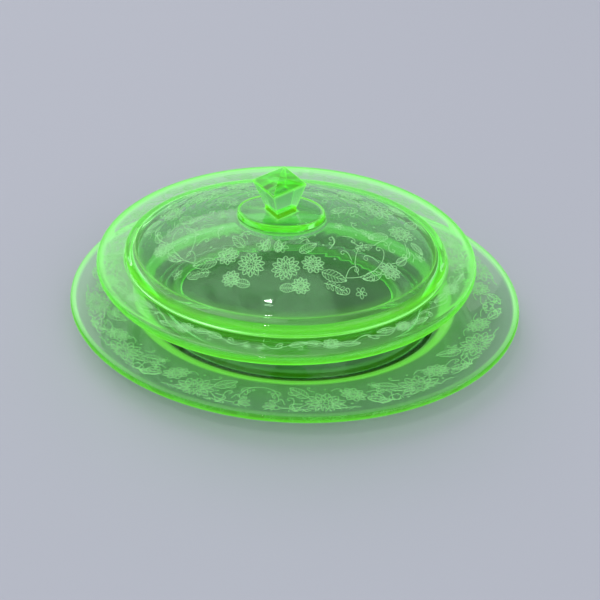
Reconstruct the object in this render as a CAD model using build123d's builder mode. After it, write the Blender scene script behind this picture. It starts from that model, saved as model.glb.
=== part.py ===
from build123d import *
import os
from math import cos, radians, sin

# Covered oval serving dish on its underplate, in pressed glass.
#
# Three loose pieces stand on each other: the underplate, the dish in the underplate's well,
# and the cover on the dish's ledge. Millimetres, +Z up, +X along the long axis.
# The origin is on the table, under the middle of the underplate.

os.makedirs("parts", exist_ok=True)

# ---- driving dimensions ------------------------------------------------------
# An oval is (half length, half width). A station is (half length, half width, height).
underplate_rim = (152.5, 112.8)
underplate_height = 20.0
underplate_edge = 5.2          # glass at the rim's rounded edge
well_top = (110.6, 81.2)       # where the rim breaks down into the well
well_top_height = 13.0
well_floor = (104.6, 75.2)
well_floor_height = 7.5
underplate_foot = (98.0, 69.0)
underplate_foot_width = 4.5
underplate_foot_height = 3.0
underplate_wall = 4.6

dish_shift = -3.0              # the dish stands loose in the well, a little to one side
dish_rim = (123.8, 96.8)
dish_height = 51.5             # top of the flange's outer edge
dish_edge = 6.4                # glass at the flange's rounded edge
dish_foot = (78.0, 50.0)
dish_foot_width = 4.0
dish_foot_height = 2.5
dish_floor_wall = 4.6          # glass between the foot's recess and the bowl
dish_wall = 4.8
mouth = (96.5, 67.5)           # inner edge of the ledge that carries the cover
ledge_height = 46.5
lip = (105.8, 76.9)            # the low lip round the ledge, where the flange starts
lip_height = 48.3
flange_root_height = 42.9      # where the bowl's outer wall meets the flange

cover_rim = (105.1, 76.2)
cover_skirt = 5.2              # upright part of the cover's edge
cover_shoulder = (97.7, 68.8)
cover_shoulder_height = 55.6
crown_rise = 23.5              # the dome would rise this far above the shoulder at its middle
crown_level_part = 0.3         # inside this part of its oval the dome is level
cover_wall = 4.6
disc_rim = (27.6, 17.3)        # raised oval disc round the knob
disc_height = 81.2

knob_base = 14.0               # side of the square block on the disc
knob_base_height = 3.4
knob_width = 23.4              # side at the widest part
knob_widest_height = 102.4
knob_band = 1.2                # upright band at the widest part
knob_peak_height = 105.2       # four shallow facets meet here
knob_turn = 45.0               # its corners point along and across the dish
knob_tip = 1.0                 # side of the tiny flat where the facets meet


def inset(oval, distance, height):
    """Station of an oval that keeps the same distance inside another all round."""
    return (oval[0] - distance, oval[1] - distance, height)


def bowl_stations(floor, top, floor_height, top_height, count=6):
    """Stations of a wall that leaves its floor level and ends upright: a quarter oval arc."""
    stations = []
    for step in range(count + 1):
        turn = radians(90 * step / count)
        half_length = floor[0] + (top[0] - floor[0]) * sin(turn)
        half_width = floor[1] + (top[1] - floor[1]) * sin(turn)
        height = floor_height + (top_height - floor_height) * (1 - cos(turn))
        stations.append((half_length, half_width, height))
    return stations


def crown_stations(oval, base_height, count=7):
    """Stations of the low dome: a parabola over an oval, cut off where it is level."""
    stations = []
    for step in range(count + 1):
        part = 1 - (1 - crown_level_part) * step / count
        stations.append((oval[0] * part, oval[1] * part, base_height + crown_rise * (1 - part**2)))
    return stations


def ovals(stations, middle=0.0):
    """The stations as level oval faces round one upright axis."""
    faces = []
    for half_length, half_width, height in stations:
        with BuildSketch(Plane((middle, 0, height)), mode=Mode.PRIVATE) as oval:
            Ellipse(half_length, half_width)
        faces.append(oval.sketch.faces()[0])
    return faces


def squares(stations, middle=0.0):
    """Level square faces of the knob. Each station is (side, height)."""
    faces = []
    for side, height in stations:
        with BuildSketch(Plane((middle, 0, height)), mode=Mode.PRIVATE) as square:
            Rectangle(side, side, rotation=knob_turn)
        faces.append(square.sketch.faces()[0])
    return faces


def level_edges(builder, height, tolerance=0.05):
    """Edges that lie level at one height."""
    return builder.edges().filter_by_position(Axis.Z, height - tolerance, height + tolerance)


# ---- underplate: oval platter with a wide sloping rim and a sunk well ---------
with BuildPart() as underplate:
    # foot, shallow underside and the upright edge of the rim
    outside = [
        inset(underplate_foot, 0, 0),
        inset(underplate_foot, -0.8, underplate_foot_height),
        inset(well_top, 1.2, well_top_height - underplate_wall),
        inset(underplate_rim, 0, underplate_height - underplate_edge),
        inset(underplate_rim, 0, underplate_height),
    ]
    loft(ovals(outside), ruled=True)
    # the well and the slope of the rim, taken out from above
    inside = [
        inset(well_floor, 0, well_floor_height),
        inset(well_top, 0, well_top_height),
        inset(underplate_rim, 0, underplate_height),
    ]
    loft(ovals(inside), ruled=True, mode=Mode.SUBTRACT)
    # recess inside the foot, so that the plate stands on a narrow ring
    recess = [
        inset(underplate_foot, underplate_foot_width, 0),
        inset(underplate_foot, underplate_foot_width + 1.5, underplate_foot_height),
    ]
    loft(ovals(recess), ruled=True, mode=Mode.SUBTRACT)
    fillet(level_edges(underplate, underplate_height), underplate_edge / 2 - 0.2)
    fillet(level_edges(underplate, underplate_height - underplate_edge), underplate_edge / 2 - 0.2)
    fillet(level_edges(underplate, well_top_height), 1.5)
    fillet(level_edges(underplate, well_floor_height), 1.5)
underplate.part.label = "underplate"
export_step(underplate.part, "parts/underplate.step")

# ---- dish: oval bowl on a low foot, with a wide flange and a ledge for the cover ----
dish_bottom = well_floor_height
recess_height = dish_bottom + dish_foot_height
with BuildPart() as dish:
    foot = [inset(dish_foot, 0, dish_bottom), inset(dish_foot, -0.6, recess_height)]
    loft(ovals(foot, dish_shift))
    outer_floor = (dish_foot[0] + 0.6, dish_foot[1] + 0.6)
    outer_top = (mouth[0] + dish_wall, mouth[1] + dish_wall)
    outer_wall = bowl_stations(outer_floor, outer_top, recess_height, flange_root_height)
    loft(ovals(outer_wall, dish_shift))
    flange = [
        inset(outer_top, 0, flange_root_height),
        inset(dish_rim, 0, dish_height - dish_edge),
        inset(dish_rim, 0, dish_height),
    ]
    loft(ovals(flange, dish_shift), ruled=True)
    # the bowl's hollow
    inner_floor = (dish_foot[0] - 3, dish_foot[1] - 3)
    hollow = bowl_stations(inner_floor, mouth, recess_height + dish_floor_wall, ledge_height)
    loft(ovals(hollow, dish_shift), mode=Mode.SUBTRACT)
    # ledge, lip and the slope of the flange
    slope = [
        inset(lip, 0.2, ledge_height),
        inset(lip, 0, lip_height),
        inset(dish_rim, 0, dish_height),
    ]
    loft(ovals(slope, dish_shift), ruled=True, mode=Mode.SUBTRACT)
    # recess inside the foot
    recess = [
        inset(dish_foot, dish_foot_width, dish_bottom),
        inset(dish_foot, dish_foot_width + 1, recess_height),
    ]
    loft(ovals(recess, dish_shift), mode=Mode.SUBTRACT)
    fillet(level_edges(dish, dish_height), dish_edge / 2 - 0.4)
    fillet(level_edges(dish, dish_height - dish_edge), dish_edge / 2 - 0.4)
    fillet(level_edges(dish, lip_height), 0.6)
dish.part.label = "dish"
export_step(dish.part, "parts/dish.step")

# ---- cover: skirt, shoulder, low dome, raised disc and a knob pressed in one with it ----
skirt_top = ledge_height + cover_skirt
crown_top = cover_shoulder_height + crown_rise * (1 - crown_level_part**2)
with BuildPart() as cover:
    edge = [
        inset(cover_rim, 0, ledge_height),
        inset(cover_rim, 0, skirt_top),
        inset(cover_rim, 2.4, cover_shoulder_height - 0.9),
        inset(cover_shoulder, 0, cover_shoulder_height),
    ]
    loft(ovals(edge, dish_shift), ruled=True)
    loft(ovals(crown_stations(cover_shoulder, cover_shoulder_height), dish_shift))
    # the hollow under the shoulder and the dome
    hollow_height = cover_shoulder_height - cover_wall
    hollow_oval = (cover_shoulder[0] - 0.8, cover_shoulder[1] - 0.8)
    under_shoulder = [
        inset(cover_rim, cover_wall, ledge_height),
        inset(cover_rim, cover_wall, hollow_height - 1.2),
        inset(hollow_oval, 0, hollow_height),
    ]
    loft(ovals(under_shoulder, dish_shift), ruled=True, mode=Mode.SUBTRACT)
    loft(ovals(crown_stations(hollow_oval, hollow_height), dish_shift), mode=Mode.SUBTRACT)
    # raised disc, started a little inside the dome's glass
    with BuildSketch(Plane((dish_shift, 0, crown_top - 1))):
        Ellipse(disc_rim[0], disc_rim[1])
    extrude(amount=disc_height - crown_top + 1)
    fillet(level_edges(cover, disc_height), 1.0)
    fillet(level_edges(cover, skirt_top), 1.2)
    # square knob: a low block, a flare, a narrow band and four shallow facets on top
    knob = [
        (knob_base, disc_height),
        (knob_base, disc_height + knob_base_height),
        (knob_width, knob_widest_height - knob_band),
        (knob_width, knob_widest_height),
        (knob_tip, knob_peak_height),
    ]
    loft(squares(knob, dish_shift), ruled=True)
cover.part.label = "cover"
export_step(cover.part, "parts/cover.step")
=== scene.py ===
# Covered oval dish of uranium glass on its underplate: glass, etching, floor, light and camera.
from math import cos, degrees, hypot, pi, radians, sin, tau

import bpy
from mathutils import Matrix, Vector


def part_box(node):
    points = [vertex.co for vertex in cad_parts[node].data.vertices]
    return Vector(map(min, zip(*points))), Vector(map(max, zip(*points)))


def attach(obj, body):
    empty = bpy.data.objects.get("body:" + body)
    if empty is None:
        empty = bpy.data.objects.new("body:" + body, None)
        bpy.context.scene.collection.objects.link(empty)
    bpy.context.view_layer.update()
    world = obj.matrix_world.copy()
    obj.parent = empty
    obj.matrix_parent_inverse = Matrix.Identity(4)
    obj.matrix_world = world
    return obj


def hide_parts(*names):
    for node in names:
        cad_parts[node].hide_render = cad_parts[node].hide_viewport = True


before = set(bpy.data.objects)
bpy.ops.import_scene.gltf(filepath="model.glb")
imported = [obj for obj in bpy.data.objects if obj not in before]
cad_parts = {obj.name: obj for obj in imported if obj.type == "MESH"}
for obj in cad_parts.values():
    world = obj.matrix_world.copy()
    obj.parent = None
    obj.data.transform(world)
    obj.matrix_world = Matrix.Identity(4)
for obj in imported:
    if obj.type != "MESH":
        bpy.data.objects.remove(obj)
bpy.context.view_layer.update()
mm = 0.001


# The linear colour of an sRGB hex value
def toLinear(hexColour):
    channels = [int(hexColour[i:i + 2], 16) / 255 for i in (1, 3, 5)]
    return tuple(c / 12.92 if c <= 0.04045 else ((c + 0.055) / 1.055) ** 2.4 for c in channels) + (1.0,)


# Adds a node, links or sets its inputs and sets its options.
def addNode(tree, kind, inputs=None, **settings):
    node = tree.nodes.new(kind)
    for name, value in settings.items():
        setattr(node, name, value)
    for name, value in (inputs or {}).items():
        if isinstance(value, bpy.types.NodeSocket):
            tree.links.new(value, node.inputs[name])
        else:
            node.inputs[name].default_value = value
    return node


def lerp(a, b, t):
    return a + (b - a) * t


# Half length, half width, bottom and top of a CAD node in millimetres, and its middle in metres
def halves(node):
    low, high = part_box(node)
    return (high.x - low.x) / 2 / mm, (high.y - low.y) / 2 / mm, low.z / mm, high.z / mm, (high.x + low.x) / 2


plateHalfX, plateHalfY, plateLow, plateHigh, plateMiddle = halves("underplate")
dishHalfX, dishHalfY, dishLow, dishHigh, dishMiddle = halves("dish")
coverHalfX, coverHalfY, coverLow, coverHigh, coverMiddle = halves("cover")
print("frame: underplate", round(plateHalfX * 2), "mm long, cover up to", round(coverHigh), "mm")


# Glass bodies
# A profile is a list of stations (half length, half width, height, corner, painted glow), sizes in
# millimetres.
# corner is the exponent of the ring's shape: 1 gives an oval and 2 a square that stands on its corner.
# Every profile runs from the middle of the underside, out over the edge and back to the middle on top.
# painted glow: strength of the green light that the glass itself gives off at that ring, strongest on edges,
# steps and the knob
glass = dict(segments=256, support=0.9, longRun=3.2, paintedGlowTopFade=0.7, crispAngle=32, paintedCornerGlowFocus=10.0,
             weld=2e-6)


# Station of an oval that lies the same distance inside another all round, with its painted glow
def ring(oval, distance, height, paintedGlow=0.0):
    return (oval[0] - distance, oval[1] - distance, height, 1.0, paintedGlow)


# Rings over a rounded rim: an arc that starts underneath and ends on top, where its painted glow is weaker.
def roundedEdge(oval, radius, middleHeight, fromTurn, toTurn, steps, paintedGlow):
    turns = [radians(lerp(fromTurn, toTurn, i / steps)) for i in range(steps + 1)]
    return [ring(oval, radius * (1 - cos(t)), middleHeight + radius * sin(t),
                 paintedGlow * (1 - glass["paintedGlowTopFade"] * max(sin(t), 0))) for t in turns]


# A wall that leaves its floor level and ends upright.
def bowlWall(floor, top, lowHeight, highHeight, count):
    turns = [pi / 2 * i / count for i in range(count + 1)]
    return [(lerp(floor[0], top[0], sin(t)), lerp(floor[1], top[1], sin(t)),
             lerp(lowHeight, highHeight, 1 - cos(t)), 1.0, 0.0) for t in turns]


# A low dome: a parabola over an oval, cut off where it is level.
def crownWall(oval, baseHeight, rise, levelPart, count):
    parts = [1 - (1 - levelPart) * i / count for i in range(count + 1)]
    return [(oval[0] * p, oval[1] * p, baseHeight + rise * (1 - p * p), 1.0, 0.0) for p in parts]


# Adds rings close to both ends of each long run, so that its shading stays flat.
def withSupports(stations):
    full = [stations[0]]
    for near, far in zip(stations, stations[1:]):
        run = max(hypot(far[0] - near[0], far[2] - near[2]), hypot(far[1] - near[1], far[2] - near[2]))
        if run > glass["longRun"]:
            part = glass["support"] / run
            full += [tuple(lerp(a, b, t) for a, b in zip(near, far)) for t in (part, 0.5, 1 - part)]
        full.append(far)
    return full


# Geometry Nodes tree: turns a profile of stations into one closed body of oval rings.
def buildOvalLathe():
    tree = bpy.data.node_groups.new("ovalLathe", "GeometryNodeTree")
    face = tree.interface
    face.new_socket("Profile", in_out="INPUT", socket_type="NodeSocketGeometry")
    face.new_socket("Segments", in_out="INPUT", socket_type="NodeSocketInt")
    face.new_socket("Middle", in_out="INPUT", socket_type="NodeSocketFloat")
    face.new_socket("Glass", in_out="INPUT", socket_type="NodeSocketMaterial")
    face.new_socket("Body", in_out="OUTPUT", socket_type="NodeSocketGeometry")
    given = addNode(tree, "NodeGroupInput").outputs

    size = addNode(tree, "GeometryNodeAttributeDomainSize", {"Geometry": given["Profile"]}, component="MESH")
    columns = addNode(tree, "ShaderNodeMath", {0: given["Segments"], 1: 1.0}).outputs[0]
    grid = addNode(tree, "GeometryNodeMeshGrid",
                   {"Vertices X": size.outputs["Point Count"], "Vertices Y": columns})
    index = addNode(tree, "GeometryNodeInputIndex").outputs[0]
    centred = addNode(tree, "ShaderNodeMath", {0: index, 1: 0.5})
    rings = addNode(tree, "ShaderNodeMath", {0: centred.outputs[0], 1: columns}, operation="DIVIDE")
    ringIndex = addNode(tree, "ShaderNodeMath", {0: rings.outputs[0]}, operation="FLOOR").outputs[0]
    column = addNode(tree, "ShaderNodeMath", {0: index, 1: columns}, operation="FLOORED_MODULO")
    share = addNode(tree, "ShaderNodeMath", {0: column.outputs[0], 1: given["Segments"]}, operation="DIVIDE")
    turn = addNode(tree, "ShaderNodeMath", {0: share.outputs[0], 1: tau}, operation="MULTIPLY").outputs[0]

    position = addNode(tree, "GeometryNodeInputPosition").outputs[0]
    cornerOf = addNode(tree, "GeometryNodeInputNamedAttribute", {"Name": "corner"},
                       data_type="FLOAT").outputs[0]
    paintedGlowOf = addNode(tree, "GeometryNodeInputNamedAttribute", {"Name": "paintedGlow"}, data_type="FLOAT").outputs[0]
    found = []
    for value, kind in ((position, "FLOAT_VECTOR"), (cornerOf, "FLOAT"), (paintedGlowOf, "FLOAT")):
        found.append(addNode(tree, "GeometryNodeSampleIndex", {
            "Geometry": given["Profile"], "Value": value, "Index": ringIndex}, data_type=kind).outputs[0])
    place = addNode(tree, "ShaderNodeSeparateXYZ", {"Vector": found[0]}).outputs
    corner, paintedRingGlow = found[1:]

    outline = []
    for wave in ("COSINE", "SINE"):
        swing = addNode(tree, "ShaderNodeMath", {0: turn}, operation=wave).outputs[0]
        swell = addNode(tree, "ShaderNodeMath", {0: swing}, operation="ABSOLUTE").outputs[0]
        bent = addNode(tree, "ShaderNodeMath", {0: swell, 1: corner}, operation="POWER").outputs[0]
        side = addNode(tree, "ShaderNodeMath", {0: swing}, operation="SIGN").outputs[0]
        outline.append(addNode(tree, "ShaderNodeMath", {0: bent, 1: side}, operation="MULTIPLY").outputs[0])
    x = addNode(tree, "ShaderNodeMath", {0: place["X"], 1: outline[0], 2: given["Middle"]},
                operation="MULTIPLY_ADD")
    y = addNode(tree, "ShaderNodeMath", {0: place["Y"], 1: outline[1]}, operation="MULTIPLY")
    spot = addNode(tree, "ShaderNodeCombineXYZ", {"X": x.outputs[0], "Y": y.outputs[0], "Z": place["Z"]})
    # a square ring also gets painted glow along its four corners
    doubled = addNode(tree, "ShaderNodeMath", {0: turn, 1: 2.0}, operation="MULTIPLY")
    swing = addNode(tree, "ShaderNodeMath", {0: doubled.outputs[0]}, operation="COSINE")
    nearCorner = addNode(tree, "ShaderNodeMath", {
        0: swing.outputs[0], 1: glass["paintedCornerGlowFocus"]}, operation="POWER")
    squareness = addNode(tree, "ShaderNodeMath", {0: corner, 1: 1.0}, operation="SUBTRACT")
    paintedCornerGlow = addNode(tree, "ShaderNodeMath", {0: nearCorner.outputs[0], 1: squareness.outputs[0]},
                         operation="MULTIPLY")
    # painted glow of each point: the ring's or the corner's, whichever is stronger, stored for the glass's
    # emission
    paintedGlow = addNode(tree, "ShaderNodeMath", {0: paintedRingGlow, 1: paintedCornerGlow.outputs[0]},
                   operation="MAXIMUM").outputs[0]
    kept = addNode(tree, "GeometryNodeStoreNamedAttribute", {
        "Geometry": grid.outputs["Mesh"], "Name": "paintedGlow", "Value": paintedGlow}, data_type="FLOAT", domain="POINT")
    moved = addNode(tree, "GeometryNodeSetPosition",
                    {"Geometry": kept.outputs[0], "Position": spot.outputs[0]})
    closed = addNode(tree, "GeometryNodeMergeByDistance", {
        "Geometry": moved.outputs[0], "Distance": glass["weld"]})
    angle = addNode(tree, "GeometryNodeInputMeshEdgeAngle").outputs["Unsigned Angle"]
    crisp = addNode(tree, "FunctionNodeCompare", {
        "A": angle, "B": radians(glass["crispAngle"])}, operation="GREATER_THAN")
    smoothFaces = addNode(tree, "GeometryNodeSetShadeSmooth", {"Geometry": closed.outputs[0]}, domain="FACE")
    smoothEdges = addNode(tree, "GeometryNodeSetShadeSmooth", {
        "Geometry": smoothFaces.outputs[0], "Selection": crisp.outputs[0], "Shade Smooth": False},
        domain="EDGE")
    real = addNode(tree, "GeometryNodeRealizeInstances", {"Geometry": smoothEdges.outputs[0]})
    finish = addNode(tree, "GeometryNodeSetMaterial",
                     {"Geometry": real.outputs[0], "Material": given["Glass"]})
    addNode(tree, "NodeGroupOutput", {"Body": finish.outputs[0]})
    return tree


# A modifier's input goes by its socket's identifier, not by its name.
def setInput(modifier, name, value):
    for item in modifier.node_group.interface.items_tree:
        if item.item_type == "SOCKET" and item.in_out == "INPUT" and item.name == name:
            modifier[item.identifier] = value
            return
    raise KeyError(name)


# A plain mesh object from a source mesh or curve and a Geometry Nodes tree.
def applied(name, source, tree, inputs):
    maker = bpy.data.objects.new(name + "Maker", source)
    bpy.context.scene.collection.objects.link(maker)
    modifier = maker.modifiers.new("build", "NODES")
    modifier.node_group = tree
    for key, value in inputs.items():
        setInput(modifier, key, value)
    bpy.context.view_layer.update()
    mesh = bpy.data.meshes.new_from_object(maker.evaluated_get(bpy.context.evaluated_depsgraph_get()))
    mesh.name = name
    bpy.data.objects.remove(maker)
    piece = bpy.data.objects.new(name, mesh)
    bpy.context.scene.collection.objects.link(piece)
    return piece


# Above zero when the faces point outwards
def signedVolume(mesh):
    mesh.calc_loop_triangles()
    points = [v.co for v in mesh.vertices]
    return sum(points[t.vertices[0]].dot(points[t.vertices[1]].cross(points[t.vertices[2]]))
               for t in mesh.loop_triangles) / 6


# One closed glass body from a profile
def latheBody(name, stations, middle, material):
    stations = withSupports(stations)
    profile = bpy.data.meshes.new(name + "Profile")
    profile.from_pydata([(s[0] * mm, s[1] * mm, s[2] * mm) for s in stations], [], [])
    for key, place in (("corner", 3), ("paintedGlow", 4)):
        layer = profile.attributes.new(key, "FLOAT", "POINT")
        layer.data.foreach_set("value", [s[place] for s in stations])
    piece = applied(name, profile, ovalLathe,
                    {"Segments": glass["segments"], "Middle": middle, "Glass": material})
    if signedVolume(piece.data) < 0:
        piece.data.flip_normals()
    volume = round(abs(signedVolume(piece.data)) * 1e6)
    print("glass:", name, len(piece.data.polygons), "faces,", volume, "cm3")
    return piece


ovalLathe = buildOvalLathe()


# Glass material
# Uranium glass: soda glass with about two per cent uranium oxide, pressed and fire-polished.
# Pale green by daylight; under ultraviolet it glows green, most where the light runs along inside it,
# so edges and steps are the brightest.
# The glass's green glow is painted light: it gives off light of its own, faint on faces and strong where the
# profile's painted glow is high, with no ultraviolet lamp in the scene.
uraniumGlass = dict(tint="#F4FCF2", paintedGlowColour="#72F01C", absorbed="#70DB88", density=72.0, ior=1.5,
                    smooth=0.006, smudged=0.045, smudgeMm=14.0, paintedFaceGlow=0.008, paintedEdgeGlow=0.5, waveMm=24.0,
                    waveHeight=0.03, peelMm=1.6, peelHeight=0.0022)


def makeGlass(name, paintedFaceGlow):
    s = uraniumGlass
    material = bpy.data.materials.new(name)
    material.use_nodes = True
    tree = material.node_tree
    tree.nodes.clear()
    place = addNode(tree, "ShaderNodeTexCoord").outputs["Object"]
    # slow waves that pressing leaves in the surface
    waves = addNode(tree, "ShaderNodeTexNoise", {"Vector": place, "Scale": 1000 / s["waveMm"], "Detail": 1.5})
    rolling = addNode(tree, "ShaderNodeBump",
                      {"Height": waves.outputs["Fac"], "Distance": s["waveHeight"] * mm})
    # fine unevenness from the mould's surface
    peel = addNode(tree, "ShaderNodeTexNoise", {"Vector": place, "Scale": 1000 / s["peelMm"], "Detail": 2.0})
    bump = addNode(tree, "ShaderNodeBump", {
        "Height": peel.outputs["Fac"], "Distance": s["peelHeight"] * mm, "Normal": rolling.outputs[0]})
    # handling leaves faint smudges in the polish
    smudges = addNode(tree, "ShaderNodeTexNoise",
                      {"Vector": place, "Scale": 1000 / s["smudgeMm"], "Detail": 5.0})
    polish = addNode(tree, "ShaderNodeMapRange", {
        "Value": smudges.outputs["Fac"], "From Min": 0.5, "From Max": 0.75,
        "To Min": s["smooth"], "To Max": s["smudged"]})
    # painted glow: emission strength runs from the faint face glow to the strong edge glow
    paintedGlow = addNode(tree, "ShaderNodeAttribute", attribute_name="paintedGlow")
    strength = addNode(tree, "ShaderNodeMapRange",
                       {"Value": paintedGlow.outputs["Fac"], "To Min": paintedFaceGlow, "To Max": s["paintedEdgeGlow"]})
    surface = addNode(tree, "ShaderNodeBsdfPrincipled", {
        "Base Color": toLinear(s["tint"]), "Roughness": polish.outputs[0], "IOR": s["ior"],
        "Transmission Weight": 1.0, "Emission Color": toLinear(s["paintedGlowColour"]),
        "Emission Strength": strength.outputs[0], "Normal": bump.outputs[0]})
    inside = addNode(tree, "ShaderNodeVolumeAbsorption",
                     {"Color": toLinear(s["absorbed"]), "Density": s["density"]})
    addNode(tree, "ShaderNodeOutputMaterial", {"Surface": surface.outputs[0], "Volume": inside.outputs[0]})
    return material


# Underplate
underplate = dict(edgeRadius=2.6, wellTop=(110.6, 81.2), wellTopHeight=13.0, wellFloor=(104.6, 75.2),
                  floorHeight=7.5, foot=(98.0, 69.0), footWidth=4.5, recess=3.0, wall=4.6)


def underplateProfile():
    u = underplate
    rim = (plateHalfX, plateHalfY)
    edgeHeight = plateHigh - u["edgeRadius"] + 0.2
    foot, floor, top = u["foot"], u["wellFloor"], u["wellTop"]
    low = plateLow
    inner = (foot[0] - u["footWidth"], foot[1] - u["footWidth"])
    return [
        (0, 0, u["recess"], 1, 0), ring(inner, 1.8, u["recess"]), ring(inner, 1.1, u["recess"] - 0.5, 0.1),
        ring(inner, 0.2, low + 0.6, 0.2), ring(inner, -0.3, low + 0.1, 0.2), ring(inner, -0.8, low, 0.2),
        ring(foot, 0.8, low, 0.2), ring(foot, 0.2, low + 0.15, 0.2), ring(foot, -0.2, low + 0.7, 0.2),
        ring(foot, -0.8, u["recess"] - 0.4, 0.1), ring(foot, -1.6, u["recess"] + 0.5),
        ring(foot, -3.0, u["recess"] + 1.2),
        ring(top, 1.6, u["wellTopHeight"] - u["wall"] - 0.5),
        ring(top, -0.5, u["wellTopHeight"] - u["wall"] + 0.4),
        ring(rim, 4.4, edgeHeight - u["edgeRadius"] - 0.3),
    ] + roundedEdge(rim, u["edgeRadius"], edgeHeight, -78, 97, 14, 1.0) + [
        ring(rim, 3.4, plateHigh - 0.05, 0.35), ring(rim, 4.6, plateHigh - 0.15, 0.03),
        ring(top, -2.2, u["wellTopHeight"] + 0.35, 0.1), ring(top, -0.9, u["wellTopHeight"] + 0.05, 0.8),
        ring(top, 0.1, u["wellTopHeight"] - 0.35, 1.0), ring(top, 0.9, u["wellTopHeight"] - 1.1, 1.0),
        ring(floor, -1.2, u["floorHeight"] + 1.0, 0.9), ring(floor, -0.3, u["floorHeight"] + 0.35, 0.6),
        ring(floor, 0.8, u["floorHeight"] + 0.05, 0.1), ring(floor, 2.0, u["floorHeight"]),
        (0, 0, u["floorHeight"], 1, 0),
    ]


# Dish
dish = dict(edgeRadius=3.1, foot=(78.0, 50.0), footWidth=4.0, footHeight=2.5, floorWall=4.6, wall=4.8,
            mouth=(96.5, 67.5), ledgeHeight=46.5, lip=(105.8, 76.9), lipHeight=48.3, flangeRoot=42.9)


def dishProfile():
    d = dish
    rim, foot, mouth, lip = (dishHalfX, dishHalfY), d["foot"], d["mouth"], d["lip"]
    low, recess = dishLow, dishLow + d["footHeight"]
    edgeHeight = dishHigh - d["edgeRadius"] + 0.1
    inner = (foot[0] - d["footWidth"], foot[1] - d["footWidth"])
    outerTop = (mouth[0] + d["wall"], mouth[1] + d["wall"])
    outer = bowlWall((foot[0] + 0.6, foot[1] + 0.6), outerTop, recess, d["flangeRoot"] - 0.8, 12)
    hollow = bowlWall((foot[0] - 3, foot[1] - 3), mouth, recess + d["floorWall"], d["ledgeHeight"] - 0.8, 12)
    return [
        (0, 0, recess, 1, 0), ring(inner, 1.4, recess), ring(inner, 0.9, recess - 0.4, 0.5),
        ring(inner, 0.1, low + 0.5, 0.6), ring(inner, -0.5, low + 0.02, 0.4),
        ring(foot, 0.6, low + 0.02, 0.4), ring(foot, 0.0, low + 0.5, 0.7),
    ] + outer[1:] + [
        ring(outerTop, -0.5, d["flangeRoot"] + 0.1), ring(outerTop, -1.6, d["flangeRoot"] + 0.35),
        ring(rim, 5.0, edgeHeight - d["edgeRadius"] - 0.15, 0.2),
    ] + roundedEdge(rim, d["edgeRadius"], edgeHeight, -80, 98, 14, 1.0) + [
        ring(rim, 5.2, dishHigh - 0.35, 0.2),
        ring(lip, -1.6, d["lipHeight"] + 0.12, 0.16), ring(lip, -0.7, d["lipHeight"], 0.5),
        ring(lip, -0.15, d["lipHeight"] - 0.35, 0.8), ring(lip, 0.1, d["ledgeHeight"] + 0.4, 0.5),
        ring(lip, 0.5, d["ledgeHeight"] - 0.02, 0.3),
        ring(mouth, -0.8, d["ledgeHeight"] - 0.02, 0.3), ring(mouth, -0.25, d["ledgeHeight"] - 0.25, 0.5),
    ] + hollow[::-1] + [(0, 0, recess + d["floorWall"], 1, 0)]


# Cover
cover = dict(wall=4.6, skirt=4.4, shoulder=(97.7, 68.8), shoulderHeight=55.6, crownRise=23.5, levelPart=0.3,
             disc=(27.6, 17.3), discHeight=81.2, beadHeight=0.35, knobBase=9.9, knobBlock=3.4, knobHalf=16.55,
             knobBand=1.2, knobPeak=2.8)


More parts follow.
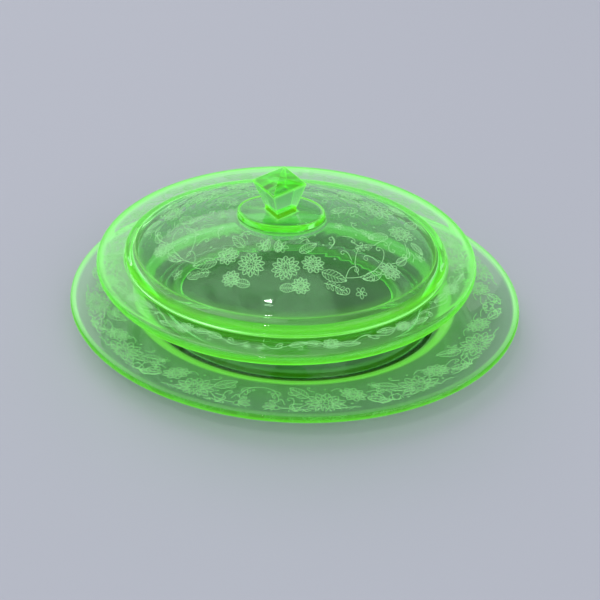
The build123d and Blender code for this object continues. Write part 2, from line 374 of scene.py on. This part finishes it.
def coverProfile():
    c = cover
    rim, shoulder, disc = (coverHalfX, coverHalfY), c["shoulder"], c["disc"]
    low, high = coverLow, c["shoulderHeight"]
    inside = (shoulder[0] - 0.8, shoulder[1] - 0.8)
    under = crownWall(inside, high - c["wall"], c["crownRise"], c["levelPart"], 12)
    over = crownWall(shoulder, high, c["crownRise"], c["levelPart"], 12)
    crownTop, knobTop = over[-1][2], coverHigh - c["knobPeak"]
    seat, base, half = c["discHeight"], c["knobBase"], c["knobHalf"]
    return [(0, 0, under[-1][2], 1, 0)] + under[::-1] + [
        ring(rim, c["wall"] + 1.4, high - c["wall"] - 0.5),
        ring(rim, c["wall"] + 0.5, high - c["wall"] - 1.4),
        ring(rim, c["wall"] + 0.1, high - c["wall"] - 2.4), ring(rim, c["wall"], low + 0.5, 0.3),
        ring(rim, c["wall"] - 0.4, low + 0.1, 0.4), ring(rim, 0.7, low + 0.1, 0.6),
        ring(rim, 0.2, low + 0.3, 0.7),
        ring(rim, 0.0, low + 0.8, 0.5), ring(rim, 0.0, low + c["skirt"], 0.6),
        ring(rim, 0.25, low + 5.6, 0.85),
        ring(rim, 0.8, low + 6.7, 0.8), ring(rim, 1.7, low + 7.6, 0.55), ring(rim, 2.9, low + 8.25, 0.35),
        ring(rim, 4.4, high - 0.55, 0.25), ring(shoulder, -0.7, high - 0.1, 0.3),
        ring(shoulder, -0.35, high + c["beadHeight"] * 0.8, 0.7),
        ring(shoulder, 0.1, high + c["beadHeight"], 0.7),
        ring(shoulder, 0.6, high + c["beadHeight"] + 0.15, 0.25),
    ] + over[1:] + [
        (disc[0] + 0.5, disc[1] + 0.5, crownTop + 0.05, 1, 0.3), ring(disc, 0.0, crownTop + 0.6, 0.7),
        ring(disc, 0.0, seat - 1.0, 1.0), ring(disc, 0.3, seat - 0.3, 1.0), ring(disc, 0.9, seat, 1.0),
        ring(disc, 1.8, seat - 0.15, 0.5), ring(disc, 2.6, seat - 0.2),
        (base + 1.6, base + 1.6, seat - 0.2, 1.5, 0.1),
        (base, base, seat, 2, 1.2), (base, base, seat + 0.8, 2, 1.2),
        (base, base, seat + c["knobBlock"] - 0.7, 2, 1.2),
        (base, base, seat + c["knobBlock"], 2, 1.2),
        (base + 0.5, base + 0.5, seat + c["knobBlock"] + 0.9, 2, 0.3),
        (half - 0.7, half - 0.7, knobTop - c["knobBand"] - 1.2, 2, 0.25),
        (half - 0.15, half - 0.15, knobTop - c["knobBand"], 2, 1.0),
        (half, half, knobTop - c["knobBand"] + 0.3, 2, 1.0),
        (half, half, knobTop - 0.3, 2, 1.0), (half - 0.5, half - 0.5, knobTop + 0.05, 2, 1.0),
        (half - 1.6, half - 1.6, lerp(knobTop, coverHigh, 0.08), 2, 0.35),
        (0, 0, coverHigh, 2, 0.6),
    ]


for name, profile, middle in (("underplate", underplateProfile, plateMiddle),
                              ("dish", dishProfile, dishMiddle),
                              ("cover", coverProfile, coverMiddle)):
    body = latheBody(name + "Glass", profile(), middle,
                     makeGlass("uraniumGlass_" + name, uraniumGlass["paintedFaceGlow"]))
    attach(body, name)
    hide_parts(name)


# Etched decoration
# A frosted line drawing on the glass: blooms, saw-edged leaves, stems and curled tendrils.
# A stroke is (points, weight). Points are (x, y) in millimetres on a flat sheet; weight scales the
# line's width.
etching = dict(lineWidth=0.56, lineHeight=0.18, topWidth=0.6, stemWeight=0.9, petalSquash=0.85, teeth=7,
               bandSlope=0.19, guidePoints=480, coveredPart=0.95, discMargin=2)


# A stem that turns ever tighter into a curl: its heading grows with the cube of the way along it.
def tendril(x, y, heading, length, curl):
    points, steps = [(x, y)], max(int(length / 0.7), 8)
    for i in range(steps):
        way = (i + 0.5) / steps
        turn = radians(heading) + curl * tau * way ** 3
        x, y = x + cos(turn) * length / steps, y + sin(turn) * length / steps
        points.append((x, y))
    return [(points, etching["stemWeight"])]


# A smooth line through a few marks.
def stem(marks):
    padded = [marks[0]] + list(marks) + [marks[-1]]
    points = []
    for a, b, c, d in zip(padded, padded[1:], padded[2:], padded[3:]):
        for i in range(12):
            t = i / 12
            points.append(tuple(0.5 * (2 * q + (r - p) * t + (2 * p - 5 * q + 4 * r - s) * t * t
                                       + (3 * q - p - 3 * r + s) * t ** 3) for p, q, r, s in zip(a, b, c, d)))
    return [(points + [marks[-1]], etching["stemWeight"])]


# A ring or, stretched, an oval of short straight steps
def loop(x, y, radius, stretch=1.0, count=10, weight=0.7):
    return [([(x + radius * stretch * cos(tau * i / count), y + radius * sin(tau * i / count))
              for i in range(count + 1)], weight)]


# The strokes of a motif drawn along +x, turned and put in place.
def turned(strokes, x, y, heading):
    c, s = cos(radians(heading)), sin(radians(heading))
    return [([(x + px * c - py * s, y + px * s + py * c) for px, py in points], weight)
            for points, weight in strokes]


# Saw-edged leaf with a midrib and slanting veins.
def leaf(x, y, heading, length, width, veins=7):
    def edge(t, side):
        saw = (t * etching["teeth"]) % 1
        return length * t, side * width / 2 * sin(pi * t ** 0.8) ** 0.75 * (0.86 + 0.22 * saw)

    steps = etching["teeth"] * 4
    strokes = [([edge(i / steps, side) for i in range(steps + 1)], 0.85) for side in (1, -1)]
    strokes.append(([(0, 0), (length * 0.96, 0)], 0.8))
    for i in range(veins):
        t = (i + 0.8) / (veins + 0.6)
        for side in (1, -1):
            tip = edge(min(t + 0.1, 0.98), side)
            strokes.append(([(length * t * 0.92, 0), (tip[0], tip[1] * 0.82)], 0.6))
    return turned(strokes, x, y, heading)


# Shaggy open flower: three rows of pointed petals with a few veins each, and a ring of dots.
def bloom(x, y, radius, petals=11, heading=0.0):
    strokes = []
    for reach, base, shift in ((1.0, 0.66, 0.0), (0.76, 0.46, 0.5), (0.5, 0.28, 0.0)):
        outline = []
        for i in range(petals * 8 + 1):
            part = (i / 8) % 1
            bulge = (1 - abs(2 * part - 1)) ** 0.6
            outline.append((radius * (base + (reach - base) * bulge), tau * (i / 8 + shift) / petals))
        strokes.append(([(r * cos(a), r * sin(a)) for r, a in outline], 0.85))
        for petal in range(petals):
            for offset in (-0.18, 0.18):
                a = tau * (petal + 0.5 + shift + offset) / petals
                near, far = radius * (base - 0.02), radius * (base + (reach - base) * 0.66)
                strokes.append(([(near * cos(a), near * sin(a)), (far * cos(a), far * sin(a))], 0.55))
    strokes += loop(0, 0, radius * 0.14, weight=0.8)
    for i in range(7):
        a = tau * i / 7
        strokes += loop(radius * 0.23 * cos(a), radius * 0.23 * sin(a), radius * 0.03, count=5, weight=0.7)
    squash = etching["petalSquash"]
    squashed = [([(px, py * squash) for px, py in points], weight) for points, weight in strokes]
    return turned(squashed, x, y, heading)


# Small flower of five open petals round a dot.
def floret(x, y, radius, heading=0.0):
    strokes = loop(0, 0, radius * 0.18, count=6)
    for i in range(5):
        a = tau * i / 5
        petal = loop(0, 0, radius * 0.26, stretch=1.5, count=9)
        strokes += turned(petal, radius * 0.6 * cos(a), radius * 0.6 * sin(a), degrees(a))
    return turned(strokes, x, y, heading)


# A short stem with small leaves to both sides and a bud at its end.
def spray(x, y, heading, length, count, size):
    strokes = [([(0, 0), (length * 0.5, size * 0.25), (length, 0)], 0.8)]
    for i in range(count):
        t = (i + 0.6) / (count + 0.4)
        for side in (1, -1):
            bud = loop(size * 0.5, 0, size * 0.2, stretch=2.3, count=9, weight=0.7)
            strokes += turned(bud, length * t, 0, side * 48)
    strokes += loop(length + size * 0.35, 0, size * 0.3, stretch=1.2, count=8)
    return turned(strokes, x, y, heading)


# Small flower head from the side: a fan of petals out of a cup, on a short stalk.
def fan(x, y, heading, size):
    strokes = [([(-size * 0.9, 0), (-size * 0.2, 0)], 0.9)]
    for swing in (-56, -28, 0, 28, 56):
        strokes += turned(loop(size * 0.62, 0, size * 0.15, stretch=2.6, count=10), 0, 0, swing)
        strokes += turned([([(size * 0.3, 0), (size * 0.9, 0)], 0.5)], 0, 0, swing)
    strokes += loop(0, 0, size * 0.24, stretch=0.8, count=8)
    return turned(strokes, x, y, heading)


# Several tendrils at once
def tendrils(*places):
    return [stroke for place in places for stroke in tendril(*place)]


# Small rings like dots.
def sprinkled(*places):
    return [stroke for x, y in places for stroke in loop(x, y, 0.5, count=6, weight=0.75)]


# A quarter of the underplate's garland. x runs from the front's middle to the end, y from the well
# outwards.
def rimQuarter():
    # half of the arch of scrolls, and the flower head that faces the plain gap
    strokes = stem([(0, 4), (4, 4.4), (8, 6.4), (10.5, 10)]) + tendril(10, 9, 66, 13, 1.1)
    strokes += tendril(7, 5.6, 14, 12, 1.15)
    strokes += loop(7.5, 9.5, 1.0) + loop(5, 7.5, 0.8) + tendril(9, 8, 120, 8, -0.9) + fan(11, 21, 180, 7.5)
    strokes += stem([(17, 21), (23, 20), (28, 17)]) + leaf(18, 22, 60, 8, 4, 4)
    strokes += tendrils((19, 20, -70, 14, -0.9), (20, 21, 55, 12, -1.05), (24, 8, 160, 12, 1.0),
                        (15, 18, -100, 9, -0.9))
    # three pairs of a large and a small bloom, with leaves and curls round them
    for x, y, size, turn in ((38, 17, 11.5, 10), (92, 18.5, 12.5, -12), (143, 17, 12.0, 16)):
        strokes += bloom(x, y, size, heading=turn) + bloom(x + 18, y - 6, 7.6, petals=9, heading=turn + 30)
        strokes += leaf(x + 9, y + 6, 30 + turn / 2, 17, 9) + leaf(x - 9, y - 6, 214 + turn / 2, 14, 8)
        strokes += leaf(x - 9, y + 6, 146 + turn / 2, 15, 8) + leaf(x + 24, y - 1, 34, 12, 6, 5)
        strokes += tendrils((x + 2, y + 11, 20, 16, 1.0), (x + 26, y - 6, -10, 14, 1.05),
                            (x - 13, y, 184, 13, -1.0), (x + 6, y - 11, -30, 12, 0.9),
                            (x + 12, y + 11, 70, 9, -1.1), (x - 4, y - 11, 200, 10, 1.0),
                            (x - 14, y + 3, 130, 9, 1.1), (x + 27, y + 4, 0, 9, -1.0))
        strokes += sprinkled((x + 14, y + 2), (x - 13, y - 3), (x + 3, y - 13), (x + 30, y - 3),
                             (x - 6, y + 13))
    # stems that join them
    strokes += stem([(62, 17), (67, 23), (73, 22), (77, 15), (81, 17)])
    strokes += stem([(116, 18), (122, 23), (128, 20), (132, 15)]) + stem([(168, 16), (173, 21), (178, 17)])
    strokes += tendrils((66, 22, 62, 16, 1.1), (70, 23, -82, 19, -1.15), (72, 22, 20, 13, 1.0),
                        (76, 16, -110, 13, -0.9), (68, 16, -60, 11, 1.0), (78, 18, 75, 12, 1.1),
                        (75, 24, 130, 9, -1.0), (121, 22, 62, 15, -1.1), (125, 22, -75, 18, 1.1),
                        (128, 20, 40, 14, 1.05), (120, 22, 168, 12, 0.9), (172, 21, 66, 14, 1.0),
                        (174, 20, -84, 17, 1.1), (172, 8, 200, 13, -1.0), (176, 16, 40, 10, -1.1))
    strokes += spray(74, 29, 172, 9, 3, 3.0) + spray(127, 7, -8, 9, 3, 3.0) + floret(72, 6, 3.6)
    strokes += floret(118, 29, 3.4, 30) + floret(177, 28, 3.8, 10) + floret(23, 28, 3.0, 15)
    return strokes


# A quarter of the flange's border: x as on the rim, y from the ledge's lip outwards.
def flangeQuarter():
    strokes = stem([(4, 5), (11, 9), (19, 6), (28, 3), (36, 6)]) + leaf(20, 6, -14, 11, 5)
    strokes += floret(4, 9, 2.6, 20)
    for x, y, size, turn in ((44, 6.1, 5.6, 12), (88, 6.2, 5.0, -20), (133, 6.0, 5.8, -8)):
        strokes += bloom(x, y, size, petals=9, heading=turn)
        strokes += leaf(x + 5, y + 1, 12, 11, 5) + leaf(x - 5, y - 1, 188, 11, 5)
    strokes += stem([(55, 8), (63, 4), (70, 6), (77, 9), (83, 6)])
    strokes += stem([(97, 7), (105, 3), (113, 6), (121, 9), (127, 6)])
    strokes += stem([(139, 5), (146, 9), (153, 5)])
    strokes += tendrils((10, 9, 2, 11, -1.0), (24, 4, 38, 11, 1.0), (31, 4, -20, 9, 1.0),
                        (12, 8, -70, 9, 0.9), (62, 4, -12, 10, 1.0), (66, 5, 62, 11, -1.05),
                        (75, 8, -42, 11, -1.0), (103, 4, 12, 11, 1.1), (107, 4, 74, 11, 1.0),
                        (115, 7, -50, 11, -1.0), (146, 9, 12, 10, -1.1), (149, 8, -80, 9, 1.0),
                        (152, 5, 62, 11, -1.1), (140, 3, -22, 10, 1.0))
    return strokes


# Half of the cover's drawing in plan: x along the cover from its middle, y across it, towards the back.
def crownHalf():
    # front bouquet beside the middle line
    strokes = bloom(10.5, -41, 8.6, heading=20) + bloom(26, -36, 6.8, petals=9) + floret(6, -28, 4.0)
    strokes += bloom(21, -50, 5.6, petals=9) + leaf(32, -40, -6, 15, 7) + leaf(9, -53, 8, 10, 5)
    strokes += leaf(17, -30, 42, 12, 6)
    strokes += leaf(4, -32, 96, 9, 5) + stem([(46, -40), (54, -37), (62, -30), (66, -22)])
    strokes += spray(34, -46, -8, 12, 4, 3.2)
    # big cluster at the back corner, and smaller ones at the end
    strokes += bloom(57, 27, 13.0, heading=-30) + bloom(38, 41, 9.4) + bloom(75, 7, 8.6, petals=9, heading=40)
    strokes += bloom(70, 38, 6.0, petals=9) + bloom(71, -27, 6.6, petals=9)
    for place in ((67, 32, 20, 13, 7), (46, 18, 205, 17, 8), (31, 34, 200, 15, 7), (50, 46, 60, 10, 5),
                  (78, 16, 66, 14, 7), (67, 0, 215, 14, 7), (29, 46, 172, 14, 6), (45, 28, 168, 12, 6),
                  (82, 2, -40, 10, 5), (66, -31, 214, 12, 6), (75, -21, 60, 10, 5)):
        strokes += leaf(*place)
    # curls that lead round the sides and into the middle
    strokes += tendrils((66, -22, 84, 18, 1.1), (64, -24, 150, 16, 1.0), (54, -37, -10, 16, 1.1),
                        (46, -40, 80, 18, -1.1), (80, -4, -70, 17, -1.05), (70, -4, 250, 15, 0.95),
                        (30, 26, 200, 17, 1.1), (38, 15, 250, 18, -1.1), (16, 48, 160, 16, 1.1),
                        (20, 42, 210, 14, -1.0), (34, -24, 62, 16, 1.05), (22, -22, 130, 12, 1.0),
                        (40, -12, 12, 15, -1.1), (8, 56, 188, 10, -1.0), (42, -50, 0, 14, 1.0),
                        (52, 10, 150, 17, 1.0), (52, -4, 170, 16, -1.05), (60, -12, 60, 15, -1.0),
                        (48, -28, 120, 14, 1.0), (84, -14, 80, 12, 1.0), (36, 4, 100, 12, 1.1),
                        (34, -14, -60, 12, -1.0), (16, -24, 60, 10, -1.1), (70, 18, 200, 10, 1.0),
                        (46, -14, -30, 12, 1.0), (20, 30, 120, 11, -1.0), (60, 46, 160, 9, 1.0))
    strokes += stem([(78, -1), (80, -9), (78, -16), (71, -22)]) + stem([(30, 42), (18, 46), (8, 52), (0, 54)])
    strokes += stem([(53, -36), (50, -28), (52, -16), (60, -12)]) + spray(48, -20, 30, 10, 3, 3.0)
    strokes += spray(24, 28, 160, 9, 3, 3.0) + spray(60, -8, 150, 9, 3, 3.0) + floret(88, -8, 3.4)
    strokes += floret(6, 44, 4.0) + floret(37, -4, 3.2) + floret(56, -46, 3.4)
    strokes += sprinkled((30, -22), (38, -30), (44, 2), (58, 4), (24, -16), (62, -36), (12, 36), (26, 22),
                         (48, -8), (84, 8))
    return strokes


# The strokes without the stretches where inside(x, y) fails.
def within(strokes, inside):
    kept = []
    for points, weight in strokes:
        run = []
        for point in list(points) + [None]:
            if point and inside(*point):
                run.append(point)
            elif run:
                kept += [(run, weight)] if len(run) > 1 else []
                run = []
    return kept


def strokeCurves(name, strokes):
    curves = bpy.data.curves.new(name, "CURVE")
    curves.dimensions = "3D"
    for points, weight in strokes:
        spline = curves.splines.new("POLY")
        spline.points.add(len(points) - 1)
        for point, (x, y) in zip(spline.points, points):
            point.co, point.radius = (x * mm, y * mm, 0, 1), weight
    return curves


# A new tree for etched lines, and its group input's sockets.
def lineInputs(name, *extra):
    tree = bpy.data.node_groups.new(name, "GeometryNodeTree")
    for key, kind in (("Strokes", "Geometry"), *extra, ("Middle", "Float"), ("Line Width", "Float"),
                      ("Line Height", "Float"), ("Frost", "Material")):
        tree.interface.new_socket(key, in_out="INPUT", socket_type="NodeSocket" + kind)
    tree.interface.new_socket("Lines", in_out="OUTPUT", socket_type="NodeSocketGeometry")
    return tree, addNode(tree, "NodeGroupInput").outputs


# Sweeps the line along curves that lie on a surface with the normal lean, and adds the mirrored copies.
def sweepAndMirror(tree, given, curves, lean, mirrors):
    tangent = addNode(tree, "GeometryNodeInputTangent").outputs[0]
    sideways = addNode(tree, "ShaderNodeVectorMath", {0: lean, 1: tangent}, operation="CROSS_PRODUCT")
    laid = addNode(tree, "GeometryNodeSetCurveNormal", {"Curve": curves, "Normal": sideways.outputs[0]},
                   mode="FREE")
    topWidth = addNode(tree, "ShaderNodeMath", {
        0: given["Line Width"], 1: etching["topWidth"]}, operation="MULTIPLY")
    section = addNode(tree, "GeometryNodeCurvePrimitiveQuadrilateral", {
        "Bottom Width": given["Line Width"], "Top Width": topWidth.outputs[0], "Height": given["Line Height"],
        "Offset": 0.0}, mode="TRAPEZOID")
    radius = addNode(tree, "GeometryNodeInputRadius").outputs[0]
    lines = addNode(tree, "GeometryNodeCurveToMesh", {
        "Curve": laid.outputs[0], "Profile Curve": section.outputs[0], "Scale": radius,
        "Fill Caps": True}).outputs[0]
    for scale in mirrors:
        copy = addNode(tree, "GeometryNodeTransform", {"Geometry": lines, "Scale": scale})
        turnedRound = addNode(tree, "GeometryNodeFlipFaces", {"Mesh": copy.outputs[0]})
        both = addNode(tree, "GeometryNodeJoinGeometry", {"Geometry": lines})
        tree.links.new(turnedRound.outputs[0], both.inputs["Geometry"])
        lines = both.outputs[0]
    offset = addNode(tree, "ShaderNodeCombineXYZ", {"X": given["Middle"]})
    placed = addNode(tree, "GeometryNodeTransform", {"Geometry": lines, "Translation": offset.outputs[0]})
    real = addNode(tree, "GeometryNodeRealizeInstances", {"Geometry": placed.outputs[0]})
    finish = addNode(tree, "GeometryNodeSetMaterial",
                     {"Geometry": real.outputs[0], "Material": given["Frost"]})
    addNode(tree, "NodeGroupOutput", {"Lines": finish.outputs[0]})


# Lays strokes on a sloping band between two ovals: x along the band's middle, y straight out across it.
def buildGarland():
    tree, given = lineInputs("garlandOnBand", ("Inner", "Vector"), ("Outer", "Vector"),
                             ("Centre Line", "Float"))
    total = addNode(tree, "ShaderNodeVectorMath", {0: given["Inner"], 1: given["Outer"]}).outputs[0]
    middle = addNode(tree, "ShaderNodeVectorMath", {0: total, "Scale": 0.5}, operation="SCALE").outputs[0]
    position = addNode(tree, "GeometryNodeInputPosition").outputs[0]
    # the guide is the band's middle oval; it starts at the left end and passes the front first
    circle = addNode(tree, "GeometryNodeCurvePrimitiveCircle", {
        "Resolution": etching["guidePoints"], "Radius": 1.0})
    reach = addNode(tree, "ShaderNodeVectorMath", {0: middle, 1: (-1, -1, 0)},
                    operation="MULTIPLY").outputs[0]
    oval = addNode(tree, "ShaderNodeVectorMath", {0: position, 1: reach}, operation="MULTIPLY").outputs[0]
    guide = addNode(tree, "GeometryNodeSetPosition",
                    {"Geometry": circle.outputs[0], "Position": oval}).outputs[0]
    length = addNode(tree, "GeometryNodeCurveLength", {"Curve": guide}).outputs[0]
    drawn = addNode(tree, "ShaderNodeSeparateXYZ", {"Vector": position}).outputs
    along = addNode(tree, "ShaderNodeMath", {0: length, 1: 0.25, 2: drawn["X"]},
                    operation="MULTIPLY_ADD").outputs[0]
    onGuide = addNode(tree, "GeometryNodeSampleCurve", {"Curves": guide, "Length": along}, mode="LENGTH")
    direction = addNode(tree, "ShaderNodeVectorMath", {0: onGuide.outputs["Position"], 1: middle},
                        operation="DIVIDE")
    near = addNode(tree, "ShaderNodeVectorMath", {0: direction.outputs[0], 1: given["Inner"]},
                   operation="MULTIPLY").outputs[0]
    far = addNode(tree, "ShaderNodeVectorMath", {0: direction.outputs[0], 1: given["Outer"]},
                  operation="MULTIPLY").outputs[0]
    width = addNode(tree, "ShaderNodeVectorMath", {0: near, 1: far}, operation="DISTANCE").outputs["Value"]
    fromCentre = addNode(tree, "ShaderNodeMath", {0: drawn["Y"], 1: given["Centre Line"]},
                         operation="SUBTRACT").outputs[0]
    share = addNode(tree, "ShaderNodeMath", {0: fromCentre, 1: width}, operation="DIVIDE").outputs[0]
    across = addNode(tree, "ShaderNodeMath", {0: share, 1: 0.5}).outputs[0]
    spot = addNode(tree, "ShaderNodeMix", {"Factor": across, "A": near, "B": far}, data_type="VECTOR",
                   clamp_factor=False)
    innerHeight = addNode(tree, "ShaderNodeSeparateXYZ", {"Vector": given["Inner"]}).outputs["Z"]
    outerHeight = addNode(tree, "ShaderNodeSeparateXYZ", {"Vector": given["Outer"]}).outputs["Z"]
    height = addNode(tree, "ShaderNodeMix", {"Factor": across, "A": innerHeight, "B": outerHeight},
                     clamp_factor=False)
    raised = addNode(tree, "ShaderNodeCombineXYZ", {"Z": height.outputs[0]})
    place = addNode(tree, "ShaderNodeVectorMath", {0: spot.outputs["Result"], 1: raised.outputs[0]})
    curves = addNode(tree, "GeometryNodeSetPosition",
                     {"Geometry": given["Strokes"], "Position": place.outputs[0]})
    # the surface leans inwards, square to the oval
    flat = addNode(tree, "ShaderNodeVectorMath", {0: position, 1: (1, 1, 0)}, operation="MULTIPLY").outputs[0]
    once = addNode(tree, "ShaderNodeVectorMath", {0: flat, 1: middle}, operation="DIVIDE").outputs[0]
    twice = addNode(tree, "ShaderNodeVectorMath", {0: once, 1: middle}, operation="DIVIDE").outputs[0]
    outward = addNode(tree, "ShaderNodeVectorMath", {0: twice}, operation="NORMALIZE").outputs[0]
    slope = etching["bandSlope"]
    lean = addNode(tree, "ShaderNodeVectorMath", {0: outward, 1: (-slope, -slope, 0), 2: (0, 0, 1)},
                   operation="MULTIPLY_ADD")
    sweepAndMirror(tree, given, curves.outputs[0], lean.outputs[0], ((-1, 1, 1), (1, -1, 1)))
    return tree


# Lifts strokes drawn in plan onto the cover's domed top.
def buildCrownDrawing():
    tree, given = lineInputs("drawingOnCrown", ("Crown", "Vector"), ("Rise", "Float"))
    position = addNode(tree, "GeometryNodeInputPosition").outputs[0]
    flat = addNode(tree, "ShaderNodeVectorMath", {0: position, 1: (1, 1, 0)}, operation="MULTIPLY").outputs[0]
    part = addNode(tree, "ShaderNodeVectorMath", {0: flat, 1: given["Crown"]}, operation="DIVIDE").outputs[0]
    squared = addNode(tree, "ShaderNodeVectorMath", {0: part, 1: part},
                      operation="DOT_PRODUCT").outputs["Value"]
    fallen = addNode(tree, "ShaderNodeMath", {0: 1.0, 1: squared}, operation="SUBTRACT").outputs[0]
    base = addNode(tree, "ShaderNodeSeparateXYZ", {"Vector": given["Crown"]}).outputs["Z"]
    height = addNode(tree, "ShaderNodeMath", {0: fallen, 1: given["Rise"], 2: base}, operation="MULTIPLY_ADD")
    raised = addNode(tree, "ShaderNodeCombineXYZ", {"Z": height.outputs[0]})
    place = addNode(tree, "ShaderNodeVectorMath", {0: flat, 1: raised.outputs[0]})
    curves = addNode(tree, "GeometryNodeSetPosition",
                     {"Geometry": given["Strokes"], "Position": place.outputs[0]})
    steep = addNode(tree, "ShaderNodeVectorMath", {0: part, 1: given["Crown"]}, operation="DIVIDE").outputs[0]
    twice = addNode(tree, "ShaderNodeMath", {0: given["Rise"], 1: 2.0}, operation="MULTIPLY").outputs[0]
    slope = addNode(tree, "ShaderNodeVectorMath", {0: steep, "Scale": twice}, operation="SCALE").outputs[0]
    lean = addNode(tree, "ShaderNodeVectorMath", {0: slope, 1: (0, 0, 1)})
    sweepAndMirror(tree, given, curves.outputs[0], lean.outputs[0], ((-1, 1, 1),))
    return tree


# Acid-etched surface: frosted glass, a little uneven from the acid, with an even painted green glow of its
# own.
frostedGlass = dict(light="#C2F4B8", dark="#8CDD94", paintedGlowColour="#8CF566", paintedGlow=0.15, roughness=0.6,
                    grainMm=0.7)


def makeFrost():
    f = frostedGlass
    material = bpy.data.materials.new("etchedGlass")
    material.use_nodes = True
    tree = material.node_tree
    tree.nodes.clear()
    place = addNode(tree, "ShaderNodeTexCoord").outputs["Object"]
    grain = addNode(tree, "ShaderNodeTexNoise",
                    {"Vector": place, "Scale": 1000 / f["grainMm"], "Detail": 2.0})
    shade = addNode(tree, "ShaderNodeMix", {
        "Factor": grain.outputs["Fac"], "A": toLinear(f["dark"]), "B": toLinear(f["light"])},
        data_type="RGBA")
    # painted glow: the frost gives off green light of its own
    surface = addNode(tree, "ShaderNodeBsdfPrincipled", {
        "Base Color": shade.outputs["Result"], "Roughness": f["roughness"],
        "Emission Color": toLinear(f["paintedGlowColour"]), "Emission Strength": f["paintedGlow"]})
    addNode(tree, "ShaderNodeOutputMaterial", {"Surface": surface.outputs[0]})
    return material


# One etched drawing as a plain mesh that rides on a CAD node
def layEtching(name, node, strokes, tree, fineness, inputs):
    lines = {"Line Width": etching["lineWidth"] * fineness * mm, "Line Height": etching["lineHeight"] * mm,
             "Frost": etchedGlass}
    piece = applied(name, strokeCurves(name, strokes), tree, {**lines, **inputs})
    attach(piece, node)
    print("etching:", name, len(strokes), "strokes,", len(piece.data.polygons), "faces")


etchedGlass = makeFrost()
garlandOnBand, drawingOnCrown = buildGarland(), buildCrownDrawing()
rimBand = (ring(underplate["wellTop"], -2.2, underplate["wellTopHeight"] + 0.35),
           ring((plateHalfX, plateHalfY), 4.6, plateHigh - 0.15))
flangeBand = (ring(dish["lip"], -1.6, dish["lipHeight"] + 0.12),
              ring((dishHalfX, dishHalfY), 5.2, dishHigh - 0.35))
for name, node, strokes, middle, (inner, outer), margin, fineness in (
        ("underplateEtching", "underplate", rimQuarter(), plateMiddle, rimBand, 0.8, 1.0),
        ("flangeEtching", "dish", flangeQuarter(), dishMiddle, flangeBand, 0.5, 0.72)):
    width = outer[1] - inner[1]
    onBand = within(strokes, lambda x, y: margin < y < width - margin and x > -0.01)
    layEtching(name, node, onBand, garlandOnBand, fineness, {
        "Inner": [v * mm for v in inner[:3]], "Outer": [v * mm for v in outer[:3]],
        "Centre Line": width / 2 * mm, "Middle": middle})

shoulder, disc = cover["shoulder"], [v + etching["discMargin"] for v in cover["disc"]]
onCrown = within(crownHalf(), lambda x, y: x > -0.01
                 and hypot(x / shoulder[0], y / shoulder[1]) < etching["coveredPart"]
                 and hypot(x / disc[0], y / disc[1]) > 1)
layEtching("coverEtching", "cover", onCrown, drawingOnCrown, 0.88, {
    "Crown": [shoulder[0] * mm, shoulder[1] * mm, cover["shoulderHeight"] * mm],
    "Rise": cover["crownRise"] * mm, "Middle": coverMiddle})


# Floor, light and camera
# A light is (name, place, size, power) and shines towards the middle of the dish.
studio = dict(floor="#C4C6CE", floorRoughness=0.75, floorReach=9.0, world="#E6E9F2", worldStrength=0.74,
              lights=(("key", (-1.5, 1.7, 2.5), 3.0, 24), ("fill", (2.0, -1.4, 1.9), 2.4, 12),
                      ("glint", (-0.20, -0.42, 1.25), 0.07, 0.9)), aim=(0, 0, 0.04))


def buildFloor():
    mesh = bpy.data.meshes.new("floor")
    reach = studio["floorReach"]
    mesh.from_pydata([(-reach, -reach, 0), (reach, -reach, 0), (reach, reach, 0), (-reach, reach, 0)], [],
                     [(0, 1, 2, 3)])
    floor = bpy.data.objects.new("floor", mesh)
    bpy.context.scene.collection.objects.link(floor)
    material = bpy.data.materials.new("paintedTable")
    material.use_nodes = True
    plain = material.node_tree.nodes["Principled BSDF"]
    plain.inputs["Base Color"].default_value = toLinear(studio["floor"])
    plain.inputs["Roughness"].default_value = studio["floorRoughness"]
    mesh.materials.append(material)


def areaLight(name, place, size, power):
    data = bpy.data.lights.new(name, "AREA")
    data.shape, data.size, data.energy = "DISK", size, power
    lamp = bpy.data.objects.new(name, data)
    lamp.location = place
    lamp.rotation_euler = (Vector(studio["aim"]) - Vector(place)).to_track_quat("-Z", "Y").to_euler()
    bpy.context.scene.collection.objects.link(lamp)


# Where the camera stands: angles in degrees, distance and aimHeight in metres, lens in millimetres
view = dict(azimuth=12.7, elevation=44.1, distance=0.4912, aimHeight=0.0, lens=42.0, roll=2.99, pan=0.793,
            tilt=-0.293)


def buildCamera():
    v = view
    turn, rise = radians(v["azimuth"]), radians(v["elevation"])
    away = Vector((sin(turn) * cos(rise), -cos(turn) * cos(rise), sin(rise)))
    place = Vector((0, 0, v["aimHeight"])) + away * v["distance"]
    facing = away.to_track_quat("Z", "Y").to_matrix()
    lean = (Matrix.Rotation(radians(v["roll"]), 3, "Z") @ Matrix.Rotation(radians(v["tilt"]), 3, "X")
            @ Matrix.Rotation(radians(v["pan"]), 3, "Y"))
    data = bpy.data.cameras.new("camera")
    data.lens, data.sensor_width, data.clip_start = v["lens"], 36.0, 0.01
    camera = bpy.data.objects.new("camera", data)
    camera.matrix_world = Matrix.Translation(place) @ (facing @ lean.transposed()).to_4x4()
    bpy.context.scene.collection.objects.link(camera)
    bpy.context.scene.camera = camera


buildFloor()
for light in studio["lights"]:
    areaLight(*light)
world = bpy.data.worlds.new("studio")
world.use_nodes = True
world.node_tree.nodes["Background"].inputs["Color"].default_value = toLinear(studio["world"])
world.node_tree.nodes["Background"].inputs["Strength"].default_value = studio["worldStrength"]
bpy.context.scene.world = world
bpy.context.scene.view_settings.view_transform = "Standard"
buildCamera()
print("stage: floor, two soft lights, a small one for the glints, and the camera")
